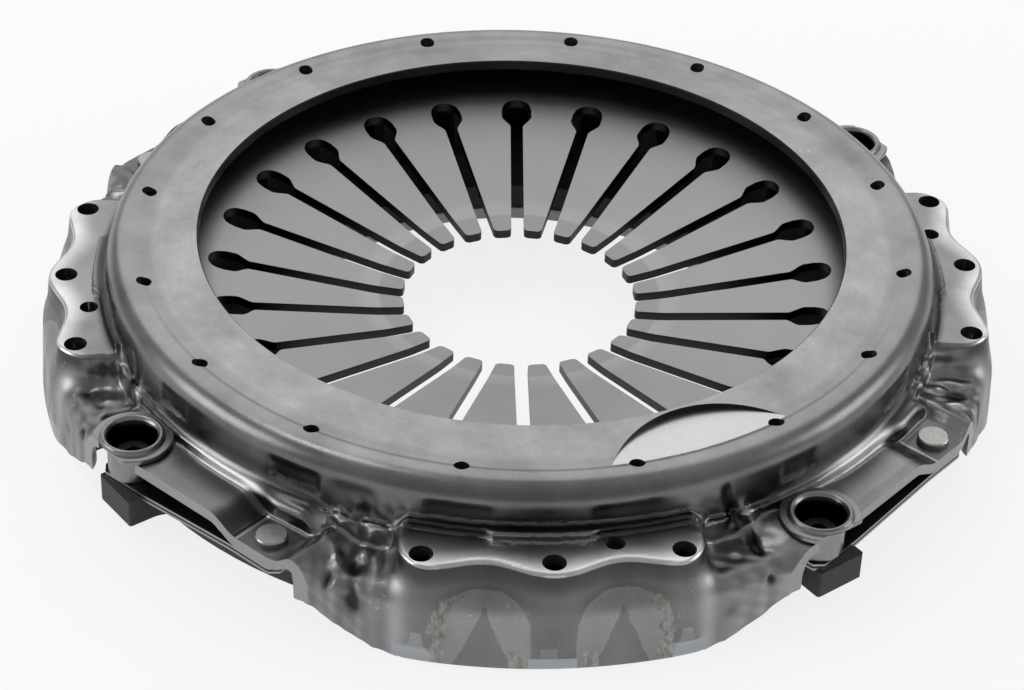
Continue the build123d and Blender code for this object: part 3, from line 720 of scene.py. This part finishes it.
# The closed sheet: outer skin, two rows on the outer edge, inner skin and two rows on the opening's wall.
def makeCover():
    c = cover
    trim = c["trim"]
    theta = coverColumns()
    outer = coverSkin(theta, 0.0, c["outerRows"])
    inner = coverSkin(theta, c["sheet"], c["innerRows"])
    wallZ = np.stack([inner[:, 0, 1] + trim, outer[:, 0, 1] - trim], -1)
    openingWall = np.stack([np.full((len(theta), 2), c["opening"]), wallZ], -1)
    outEnd = outer[:, -1]
    inEnd = inner[:, -1]
    across = inEnd - outEnd
    outward = np.stack([-across[:, 1], across[:, 0]], -1)
    outward /= np.linalg.norm(outward, axis=1)[:, None]
    outward *= np.where((outward * (outEnd - outer[:, -3])).sum(1) < 0, -1, 1)[:, None]
    edgeWall = np.stack([outEnd + across * 0.1 + outward * trim, inEnd - across * 0.1 + outward * trim], 1)
    loop = np.concatenate([outer, edgeWall, inner[:, ::-1], openingWall], 1)
    cos, sin = np.cos(theta)[:, None], np.sin(theta)[:, None]
    points = np.stack([loop[..., 0] * cos, loop[..., 0] * sin, loop[..., 1]], -1).reshape(-1, 3)
    points[:, 2] = np.maximum(points[:, 2], 0.0)
    count = loop.shape[1]
    faces = gridFaces(len(theta), count, True, True)[:, ::-1]
    piece = addPiece("coverSheet", points, faces, pressedSteel)
    piece.data.materials.append(cutEdge)
    piece.data.materials.append(holeShade)
    # the outer edge takes the cut edge's finish, the opening's wall the near black of painted shade
    strip = np.arange(len(faces)) % count
    onEdge = strip == c["outerRows"]
    onWall = strip >= count - 2
    piece.data.polygons.foreach_set("material_index", (onEdge + 2 * onWall).astype(np.int32))
    return piece


# Holes, notches and the balancing recess: radii and places in metres, angles in degrees from the first lug.
cuts = {
    "ringRadius": 0.1887,
    "ringHole": 0.00375,
    "ringAngles": (12, 34, 56, 78),
    "boltHole": 0.0055,
    "boltAngles": (-15, 0, 15),
    "dowelRadius": 0.2143,
    "dowelHole": 0.0045,
    "dowelAngle": 7.5,
    "rivetHole": 0.0046,
    "rivetAngle": 56.6,
    "notch": 0.0130,
    "notchTop": 0.0455,
    "recessRadius": 0.059,
    "recessOffset": 0.2202,
    "recessAngle": -67.6,
    "recessEnd": 0.1874,
    "recessFloor": 0.0730,
}

# The leaf springs of an arm lie on a line at a distance from the axis, with bolt and rivet half a pitch from
# its middle. A strap's height climbs evenly from low to high between -flat and flat along that line.
leaves = {
    "line": 0.22041,
    "halfPitch": 0.04525,
    "end": 0.012,
    "half": 0.0108,
    "corner": 0.004,
    "flat": 0.02925,
    "thick": 0.0012,
    "gap": 0.00003,  # half of what is left open between two straps
    "low": 0.023,
    "high": 0.0268,
}


# A closed prism over a ring of x and y, from low to high.
def prismOf(ring, low, high):
    sides = len(ring)
    below = np.column_stack([ring, np.full(sides, low)])
    above = np.column_stack([ring, np.full(sides, high)])
    walls = [[k, (k + 1) % sides, (k + 1) % sides + sides, k + sides] for k in range(sides)]
    caps = [list(range(sides))[::-1], list(range(sides, 2 * sides))]
    return np.concatenate([below, above]), walls + caps


def drill(distance, degrees, radius, low, high, sides):
    around = np.arange(sides) / sides * 2 * math.pi
    x = distance * math.cos(math.radians(degrees)) + radius * np.cos(around)
    y = distance * math.sin(math.radians(degrees)) + radius * np.sin(around)
    return prismOf(np.stack([x, y], -1), low, high)


# One mesh of several closed parts, each given as points and faces.
def gather(parts):
    points = np.concatenate([part[0] for part in parts])
    starts = np.cumsum([0] + [len(part[0]) for part in parts]).tolist()
    faces = [[v + start for v in face] for part, start in zip(parts, starts) for face in part[1]]
    return points, faces


# The sleeve's notch: a half circle about the sleeve, open outwards.
def notchRing(n):
    bend = np.radians(np.linspace(90, 270, 25))
    x = np.concatenate([leaves["line"] + cuts["notch"] * np.cos(bend), [0.26, 0.26]])
    y = -leaves["halfPitch"] + cuts["notch"] * np.concatenate([np.sin(bend), [-1, 1]])
    return np.stack(turnXY(x, y, armAngle(n)), -1)


def makeHoleCutter():
    parts = []
    for n in range(4):
        turn = 90 * n
        for a in cuts["ringAngles"]:
            parts.append(drill(cuts["ringRadius"], a + turn, cuts["ringHole"], 0.060, 0.080, 28))
        for a in cuts["boltAngles"]:
            parts.append(drill(cover["bolts"], a + turn, cuts["boltHole"], 0.040, 0.060, 36))
        dowel, rivet = cuts["dowelAngle"] + turn, cuts["rivetAngle"] + turn
        parts.append(drill(cuts["dowelRadius"], dowel, cuts["dowelHole"], 0.040, 0.060, 30))
        parts.append(drill(cover["bolts"], rivet, cuts["rivetHole"], 0.020, 0.045, 24))
        parts.append(prismOf(notchRing(n), 0.012, cuts["notchTop"]))
    cutter = addPiece("holeCutter", *gather(parts), holeShade)
    cutter.data.materials.append(cutEdge)
    cutter.data.materials.append(drilled)
    # holes in ring and lugs are drilled, notches and rivet holes in the arms have a cut edge
    for face in cutter.data.polygons:
        if face.center.z > 0.046:
            face.material_index = 2
        elif math.hypot(face.center.x, face.center.y) > 0.205:
            face.material_index = 1
    return cutter


# The recess: what its circle shares with the circle of the groove, drawn as two arcs.
def makeRecessCutter():
    offset, radius, end = cuts["recessOffset"], cuts["recessRadius"], cuts["recessEnd"]
    reach = math.acos((offset**2 + end**2 - radius**2) / (2 * offset * end))
    opened = math.asin(end * math.sin(reach) / radius)
    inwards = np.linspace(math.pi - opened, math.pi + opened, 120)
    backwards = np.linspace(-reach, reach, 60)[1:-1]
    x = np.concatenate([offset + radius * np.cos(inwards), end * np.cos(backwards)])
    y = np.concatenate([radius * np.sin(inwards), end * np.sin(backwards)])
    lens = np.stack(turnXY(x, y, math.radians(cuts["recessAngle"])), -1)
    return addPiece("recessCutter", *prismOf(lens, cuts["recessFloor"], 0.085), machinedSteel)


# The outer edges of the four arms: straight, then round where they run into the skirt.
def makeEdgeCutter():
    side = np.linspace(0.080, -0.080, 41)
    near = np.minimum(cover["armEdge"], np.sqrt(cover["armRound"] ** 2 - side**2))
    x, y = np.concatenate([near, [0.27, 0.27]]), np.concatenate([side, [-0.080, 0.080]])
    rings = [np.stack(turnXY(x, y, armAngle(n)), -1) for n in range(4)]
    return addPiece("edgeCutter", *gather([prismOf(ring, -0.01, 0.0600) for ring in rings]), cutEdge)


def cutWith(piece, cutter):
    modifier = piece.modifiers.new("cut", "BOOLEAN")
    modifier.operation = "DIFFERENCE"
    modifier.solver = "EXACT"
    modifier.material_mode = "TRANSFER"
    modifier.object = cutter
    shape = bpy.data.meshes.new_from_object(piece.evaluated_get(bpy.context.evaluated_depsgraph_get()))
    piece.modifiers.clear()
    old = piece.data
    piece.data = shape
    bpy.data.meshes.remove(old)
    bpy.data.objects.remove(cutter)


# Greys of the sheet by place, as the share of light that it gives back. Some are painted light: skirtTop is
# painted shadow, ramp painted shade, and crown, bench and between painted highlights.
greys = {
    "sheet": 0.155,
    # skirtTop: the lip's painted shadow on the skirt's top
    "skirtTop": 0.066,
    "skirtFoot": 0.120,  # added to skirtTop
    "skirtEnds": 0.15,
    # crown: a painted highlight on the dome's top
    "crown": 0.25,
    "ring": 0.30,
    "shelf": 0.23,
    # ramp: painted shade on the slope down to the pad
    "ramp": 0.065,
    "pad": 0.14,
    # bench and between: painted highlights on the bench's edge and the crumpled corners
    "bench": 0.31,
    "between": 0.23,
}


# Lays a grey over another by a share of 0 to 1.
def lay(tone, grey, share):
    return tone + (grey - tone) * share


# The grey of each place: turned ring, crown with a painted highlight, dark dome with painted shade at its
# root, under the ring's edge and in the pockets, skirt with the lip's painted shadow, arm with painted shade
# on its ramp and painted highlights on the bench and between arm and lug, and folds painted dark in creases
# and light on ridges.
def paintCover(mesh):
    g = greys
    p = np.empty(len(mesh.vertices) * 3)
    mesh.vertices.foreach_get("co", p)
    p = p.reshape(-1, 3)
    r = np.hypot(p[:, 0], p[:, 1])
    theta = np.arctan2(p[:, 1], p[:, 0])
    z = p[:, 2]
    phi = localAngle(theta, 0.0)
    psi = localAngle(theta, math.pi / 4)
    turn = np.abs(phi)
    x = r * np.sin(psi)
    y = r * np.cos(psi)
    onSkirt = smooth(0.2200, 0.2270, r) * smooth(0.0510, 0.0500, z)
    # the skirt painted dark just under the lip, the lip's painted shadow, and lighter towards its foot
    tone = lay(g["sheet"], g["skirtTop"] + g["skirtFoot"] * smooth(0.0470, 0.0340, z), onSkirt)
    ends = np.exp(-(((turn - 0.300) / 0.020) ** 2)) * smooth(0.222, 0.228, r) * smooth(0.046, 0.038, z)
    tone = tone + g["skirtEnds"] * ends
    # painted highlight: the dome's top and crown lighter than its wall
    tone = lay(tone, g["crown"], smooth(0.066, 0.0735, z) * smooth(0.2035, 0.198, r))
    tone = lay(tone, g["ring"], smooth(0.184, 0.180, r) * smooth(0.070, 0.072, z))
    # painted shade in the hollow at the dome's root
    root = np.exp(-(((r - 0.2075) / 0.0035) ** 2)) * smooth(0.044, 0.049, z) * smooth(0.060, 0.056, z)
    tone = tone * (1 - 0.74 * root)
    arm = smooth(0.062, 0.055, np.abs(x)) * smooth(0.2060, 0.2085, y) * (turn > 0.45)
    # along the arm: shelf, the ramp painted dark as painted shade where it slopes down, and pad
    onRamp = smooth(0.014, 0.022, x) * smooth(0.034, 0.030, x)
    onPad = smooth(0.030, 0.034, x)
    along = g["shelf"] - (g["shelf"] - g["ramp"]) * onRamp - (g["shelf"] - g["pad"]) * onPad
    tone = lay(tone, along, arm)
    # painted highlight along the bench's rounded edge
    benchHighlight = np.exp(-(((y - 0.2085) / 0.0032) ** 2)) * smooth(0.040, 0.030, np.abs(x + 0.010))
    tone = lay(tone, g["bench"], benchHighlight * smooth(0.0425, 0.0445, z) * smooth(0.050, 0.0485, z))
    # painted highlight on the crumpled corners between arm and lug
    between = smooth(0.315, 0.345, turn) * smooth(0.062, 0.070, np.abs(x)) * smooth(0.205, 0.209, r)
    tone = lay(tone, g["between"], between)
    # folds painted darker in their creases and lighter on their ridges: painted shade and highlight
    foldShading = foldDepth(x, y, z) * 1000
    tone = tone * np.clip(1.0 - 0.62 * np.maximum(foldShading, 0) + 1.1 * np.maximum(-foldShading, 0), 0.15, 2.4)
    # painted shade in the pockets of the dome's wall by the arms
    spots = [(middle, wide + 0.1, narrow + 0.2) for middle, wide, narrow in pockets["arm"]]
    armPocketShade = inPocket(np.degrees(psi), spots, z, pockets["armLevel"], 0.0057, 0.0050)
    tone = tone * (1 - 0.62 * armPocketShade * smooth(0.2065, 0.2055, r))
    # painted shade in the pockets of the dome's wall by the lugs
    spots = [(middle, 4.6, 3.9) for middle, _, _ in pockets["lug"]]
    lugPocketShade = inPocket(np.degrees(phi), spots, z, pockets["lugLevel"], 0.0052, 0.0042)
    tone = tone * (1 - 0.22 * lugPocketShade * (r < 0.2055))
    # painted shade on the sheet's underside beneath the ring
    under = smooth(0.0712, 0.0700, z) * smooth(0.1995, 0.1980, r)
    tone = tone * (1 - 0.75 * under)
    toLip = np.where(turn < 0.40, lipRadius(np.degrees(turn)) - r, 1.0)
    for name, values in (("tone", tone), ("toLip", toLip)):
        mesh.attributes.new(name, "FLOAT", "POINT").data.foreach_set("value", values)
    places = (("place", (phi * cover["skirtRadius"], r, z)), ("onArm", (x, y, z)))
    for name, values in places:
        stacked = np.stack(values, -1).reshape(-1)
        mesh.attributes.new(name, "FLOAT_VECTOR", "POINT").data.foreach_set("vector", stacked)


coverSheet = makeCover()
print("cover skin", len(coverSheet.data.vertices), "vertices")
for cutter in (makeEdgeCutter(), makeHoleCutter(), makeRecessCutter()):
    cutWith(coverSheet, cutter)
paintCover(coverSheet.data)
coverNames = [material.name for material in coverSheet.data.materials]
# the recess's upright wall takes the near black of painted shade
for face in coverSheet.data.polygons:
    if coverNames[face.material_index] == "machinedSteel" and abs(face.normal.z) < 0.5:
        face.material_index = coverNames.index("holeShade")
coverSheet.data.set_sharp_from_angle(angle=math.radians(34))
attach(coverSheet, "cover_assembly")
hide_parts("cover")
print("cover cut", len(coverSheet.data.polygons), "faces,", coverNames)

# Diaphragm spring. Upper face: z = seat - (wireRadius - r) tan(cone) outside the tip band and a flatter line
# inside it. Each slot's edge runs at a distance from its centre line that grows from neck to head, and the
# head ends in two round corners. Metres and degrees.
spring = {
    "fingers": 24,
    "turn": -3.0,
    "seat": 0.061333,
    "wireRadius": 0.187,
    "cone": 12.0,
    "tip": 0.0585,
    "tipRound": 0.0022,
    "band": 0.073,
    "tipAngle": 8.0,
    "edge": 0.192,
    "thick": 0.0046,
    "slotHalf": 0.0033,
    "headHalf": 0.0080,
    "neck": 0.1350,
    "neckLength": 0.0084,
    "headEnd": 0.1555,
    "headCorner": 0.0076,
    "middle": 0.06134,  # height that stays put as it is pressed flat
    "keep": 0.473,
    # points across a finger, along it to the head and behind the head, and across a slot
    "across": 11,
    "along": 52,
    "behind": 14,
    "slot": 19,
}


def springTop(r):
    s = spring
    cone = math.tan(math.radians(s["cone"]))
    outside = s["seat"] - (s["wireRadius"] - r) * cone
    bandTop = s["seat"] - (s["wireRadius"] - s["band"]) * cone
    inside = bandTop - (s["band"] - r) * math.tan(math.radians(s["tipAngle"]))
    return np.where(r >= s["band"], outside, inside)


def slotEdge(r):
    s = spring
    t = np.clip((r - s["neck"]) / s["neckLength"], 0, 1)
    return s["slotHalf"] + (s["headHalf"] - s["slotHalf"]) * (t * t * (3 - 2 * t)) ** 0.85


# A finger and the ring behind it, from slot line to slot line, as a grid of x and y: at each radius the angle
# runs to half a pitch less the slot's edge, and less a round corner at the tip.
def fingerGrid():
    s = spring
    head = s["headEnd"] - s["headCorner"]
    r = np.concatenate([
        s["tip"] + np.array([0, 0.0004, 0.0009, 0.0015, 0.0022]),
        np.linspace(s["tip"] + 0.004, s["neck"] - 0.0008, s["along"] - 34),
        np.linspace(s["neck"], s["neck"] + s["neckLength"], 25),
        np.linspace(s["neck"] + s["neckLength"] + 0.0008, head, 4),
        np.linspace(head, s["edge"], s["behind"])[1:],
    ])
    half = math.pi / s["fingers"] - np.arcsin(np.minimum(slotEdge(r) / r, 0.9))
    inset = 1 - np.minimum((r - s["tip"]) / s["tipRound"], 1)
    corner = s["tipRound"] * (1 - np.sqrt(np.maximum(0.0, 1 - inset**2)))
    u = np.linspace(-1, 1, s["across"])
    u = np.sign(u) * (1 - (1 - np.abs(u)) ** 1.25)
    a = u[None, :] * (half - corner / r)[:, None]
    return np.stack([r[:, None] * np.cos(a), r[:, None] * np.sin(a)], -1)


# What lies behind a slot's head, from the head's rounded end out to the spring's edge.
def slotGrid():
    s = spring
    offsets = np.linspace(-s["headHalf"], s["headHalf"], s["slot"])
    over = np.maximum(np.abs(offsets) - (s["headHalf"] - s["headCorner"]), 0)
    starts = s["headEnd"] - s["headCorner"] + np.sqrt(np.maximum(s["headCorner"] ** 2 - over**2, 0))
    r = starts + (s["edge"] - starts) * np.linspace(0, 1, s["behind"])[:, None]
    side = np.arcsin(offsets / r)
    return np.stack([r * np.cos(side), r * np.sin(side)], -1)


# One patch of the spring, turned by an angle: upper and lower face, with walls at both ends and along its
# sides for as many rows as are open to a slot. Edges that patches share are merged later.
def springPatch(grid, angle, openRows):
    x, y = turnXY(grid[..., 0], grid[..., 1], angle)
    top = springTop(np.hypot(x, y))
    lower = top - spring["thick"] / math.cos(math.radians(spring["cone"]))
    points = np.concatenate([np.stack([x, y, z], -1).reshape(-1, 3) for z in (top, lower)])
    rows, columns = x.shape
    count = rows * columns
    upper = gridFaces(rows, columns, False, False)
    faces = [upper, upper[:, ::-1] + count]
    index = np.arange(count).reshape(rows, columns)
    sides = index[:openRows, 0], index[:openRows, -1][::-1]
    for line in (index[0, ::-1], index[-1], *sides):
        faces.append(np.stack([line[:-1] + count, line[1:] + count, line[1:], line[:-1]], -1))
    return points, np.concatenate(faces)


def makeSpring():
    s = spring
    finger, slot = fingerGrid(), slotGrid()
    points, faces, start = [], [], 0
    for k in range(s["fingers"]):
        for grid, place, openRows in ((finger, k + 0.5, s["along"]), (slot, k, 0)):
            angle = math.radians(s["turn"]) + place * 2 * math.pi / s["fingers"]
            patch, quads = springPatch(grid, angle, openRows)
            points.append(patch)
            faces.append(quads + start)
            start += len(patch)
    return addPiece("diaphragm", np.concatenate(points), np.concatenate(faces), springSteel)


diaphragm = makeSpring()
tidy(diaphragm, 0.00006, 35)
diaphragm.data.materials.append(springCutShade)
# upright cut faces take the second material, near black: painted shade
for face in diaphragm.data.polygons:
    if abs(face.normal.z) < 0.6:
        face.material_index = 1
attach(diaphragm, "cover_assembly")
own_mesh(diaphragm)
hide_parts("diaphragm_spring")


# A strap: four points round its section at each place along it, narrower at its cut corners.
def strap(name, arm, k):
    v = leaves
    length = v["halfPitch"] + v["end"]
    x = np.linspace(-length, length, 61)
    taper = np.clip((np.abs(x) - (length - v["corner"])) / v["corner"], 0, 1)
    half = v["half"] - v["corner"] * taper
    rise = np.clip((x + v["flat"]) / (2 * v["flat"]), 0, 1)
    z = v["low"] + (v["high"] - v["low"]) * rise + k * v["thick"]
    low, high = v["gap"], v["thick"] - v["gap"]
    across = v["line"] + half[:, None] * np.array([-1, -1, 1, 1])
    along = np.repeat(x[:, None], 4, 1)
    height = z[:, None] + np.array([low, high, high, low])
    a = armAngle(arm)
    world = np.stack([*turnXY(across, along, a), height], -1).reshape(-1, 3)
    n = len(world)
    faces = gridFaces(len(x), 4, False, True).tolist() + [[0, 1, 2, 3], [n - 1, n - 2, n - 3, n - 4]]
    piece = addPiece(name, world, faces, leafSteel)
    tidy(piece, 0.000001, 30)
    # the middle strap's edges, between the other two, are near black: painted shade
    piece.data.materials.append(leafEdgeShade if k == 1 else leafEdge)
    for face in piece.data.polygons:
        if abs(face.normal.z) < 0.5:
            face.material_index = 1
    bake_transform(piece)
    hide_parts(f"leaf_spring_{arm + 1}_{k + 1}")


for arm in range(4):
    for k in range(3):
        strap(f"strap{arm + 1}{'abc'[k]}", arm, k)
print("straps made")

# Sleeves, turned about their own axis from a profile of radius and height, a flat on the flange's outer side.
sleeve = {
    "profile": (
        (0.0051, 0.0266), (0.0114, 0.0266), (0.0120, 0.0272), (0.0120, 0.0424),
        (0.0124, 0.0427), (0.0186, 0.0427), (0.0190, 0.0431), (0.0190, 0.0449),
        (0.0186, 0.0453), (0.0156, 0.0453), (0.0151, 0.0457), (0.0149, 0.0466),
        (0.0145, 0.0472), (0.0139, 0.04748), (0.0132, 0.0474), (0.0125, 0.0469),
        (0.0117, 0.0459), (0.0110, 0.0445), (0.0105, 0.0430), (0.0101, 0.0412),
        (0.0100, 0.0390), (0.0100, 0.0305), (0.0096, 0.0296), (0.0051, 0.0296),
    ),
    "flat": 0.0135,
    "flange": 0.0160,
    "inside": 0.0119,
    "around": 96,
    "radius": 0.225,
    "angle": 33.4025,
}


def makeSleeve(n):
    s = sleeve
    angle = math.radians(s["angle"] + 90 * n)
    t = np.arange(s["around"])[:, None] / s["around"] * 2 * math.pi
    radius, height = np.array(s["profile"]).T
    x = radius * np.cos(t)
    y = radius * np.sin(t)
    x = np.where(radius > s["flange"], np.minimum(x, s["flat"]), x)
    height = np.broadcast_to(height, x.shape)
    world = np.stack([*turnXY(s["radius"] + x, y, angle), height], -1).reshape(-1, 3)
    faces = gridFaces(len(t), len(radius), True, True)
    piece = addPiece(f"sleeveCup{n + 1}", world, faces, sleeveSteel)
    tidy(piece, 0.0000001, 38)
    # inside the cup, near black: painted shade
    piece.data.materials.append(sleeveInsideShade)
    centre = turnXY(s["radius"], 0.0, angle)
    for face in piece.data.polygons:
        away = math.hypot(face.center[0] - centre[0], face.center[1] - centre[1])
        if away < s["inside"] and 0.0290 < face.center[2] < 0.0462:
            face.material_index = 1
    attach(piece, "plate_assembly")
    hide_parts(f"sleeve_{n + 1}")


for n in range(4):
    makeSleeve(n)
print("sleeves made")

# pieces that keep the shape they came with
finishes = {
    "fulcrum_ring": wireSteel,
    "pressure_plate": castIron,
    "sleeve_bolt": boltBlack,
    "cover_rivet": rivetSteel,
}
for name, piece in nodes.items():
    for start, material in finishes.items():
        if name.startswith(start):
            piece.data.materials.clear()
            piece.data.materials.append(material)
print("finishes set")

# Lamps: place, target, width, height and power in watts. The camera looks along the last of its three axes.
studio = {
    "floorGrey": 0.9,
    "floorWhite": 0.82,  # share of plain white in what the camera and reflections see of the floor
    "floorHalf": 6,
    "worldStrength": 0.42,
    "lamps": {
        "overhead": ((0.0, 1.25, 1.20), (0, 0.0, 0), 2.6, 1.9, 14),
        "leftSide": ((-1.6, -0.25, 0.6), (0, 0, 0.05), 0.9, 0.8, 8.0),
        "rightSide": ((1.6, -0.1, 0.55), (0, 0, 0.05), 0.8, 0.7, 5.0),
        "highlight": ((-0.75, 0.15, 1.7), (0, 0, 0.05), 0.36, 0.36, 2.4),
    },
    "lens": 102.979,
    "eye": (-0.10820279, -1.19886881, 0.88408204),
    "axes": (
        (0.99741775, -0.06428031, 0.03202935),
        (0.01218325, 0.59095833, 0.80661008),
        (-0.07077716, -0.80413699, 0.59021547),
    ),
}


# The floor is white to the camera and in reflections, and keeps part of the object's shadow.
def makeFloor():
    grey, half = studio["floorGrey"], studio["floorHalf"]
    shade = Shade("floorPaper")
    shade.finish((grey, grey, grey, 1), 0.9, 0.0)
    path = shade.tree.nodes.new("ShaderNodeLightPath").outputs
    seen = shade.math("ADD", path["Is Camera Ray"], path["Is Glossy Ray"], clamp=True)
    seen = shade.math("ADD", seen, path["Is Transmission Ray"], clamp=True)
    white = shade.tree.nodes.new("ShaderNodeEmission")
    white.inputs["Strength"].default_value = 1.0
    both = shade.tree.nodes.new("ShaderNodeMixShader")
    shade.put(both.inputs[0], shade.product(seen, studio["floorWhite"]))
    shade.put(both.inputs[1], shade.surface.outputs[0])
    shade.put(both.inputs[2], white.outputs[0])
    shade.put(shade.tree.nodes["Material Output"].inputs["Surface"], both.outputs[0])
    corners = [(x * half, y * half, -0.0002) for x, y in ((-1, -1), (1, -1), (1, 1), (-1, 1))]
    addPiece("floor", np.array(corners, float), [[0, 1, 2, 3]], shade.material)


def softbox(name, position, target, width, height, power):
    light = bpy.data.lights.new(name, "AREA")
    light.shape = "RECTANGLE"
    light.size = width
    light.size_y = height
    light.energy = power
    lamp = bpy.data.objects.new(name, light)
    bpy.context.scene.collection.objects.link(lamp)
    lamp.location = position
    lamp.rotation_euler = (Vector(target) - Vector(position)).to_track_quat("-Z", "Y").to_euler()


makeFloor()
world = bpy.data.worlds.new("studio")
bpy.context.scene.world = world
world.use_nodes = True
sky = world.node_tree.nodes["Background"]
sky.inputs["Color"].default_value = (1, 1, 1, 1)
sky.inputs["Strength"].default_value = studio["worldStrength"]
for name, lamp in studio["lamps"].items():
    softbox(name, *lamp)

camera = bpy.data.cameras.new("camera")
camera.lens = studio["lens"]
camera.sensor_width = 36
camera.sensor_fit = "HORIZONTAL"
camera.clip_start = 0.05
camera.clip_end = 50
eye = bpy.data.objects.new("camera", camera)
bpy.context.scene.collection.objects.link(eye)
turned = Matrix([Vector(axis) for axis in studio["axes"]]).transposed().to_4x4()
eye.matrix_world = Matrix.Translation(studio["eye"]) @ turned
bpy.context.scene.camera = eye
bpy.context.scene.view_settings.view_transform = "Standard"
print("studio set")

print("scene complete")
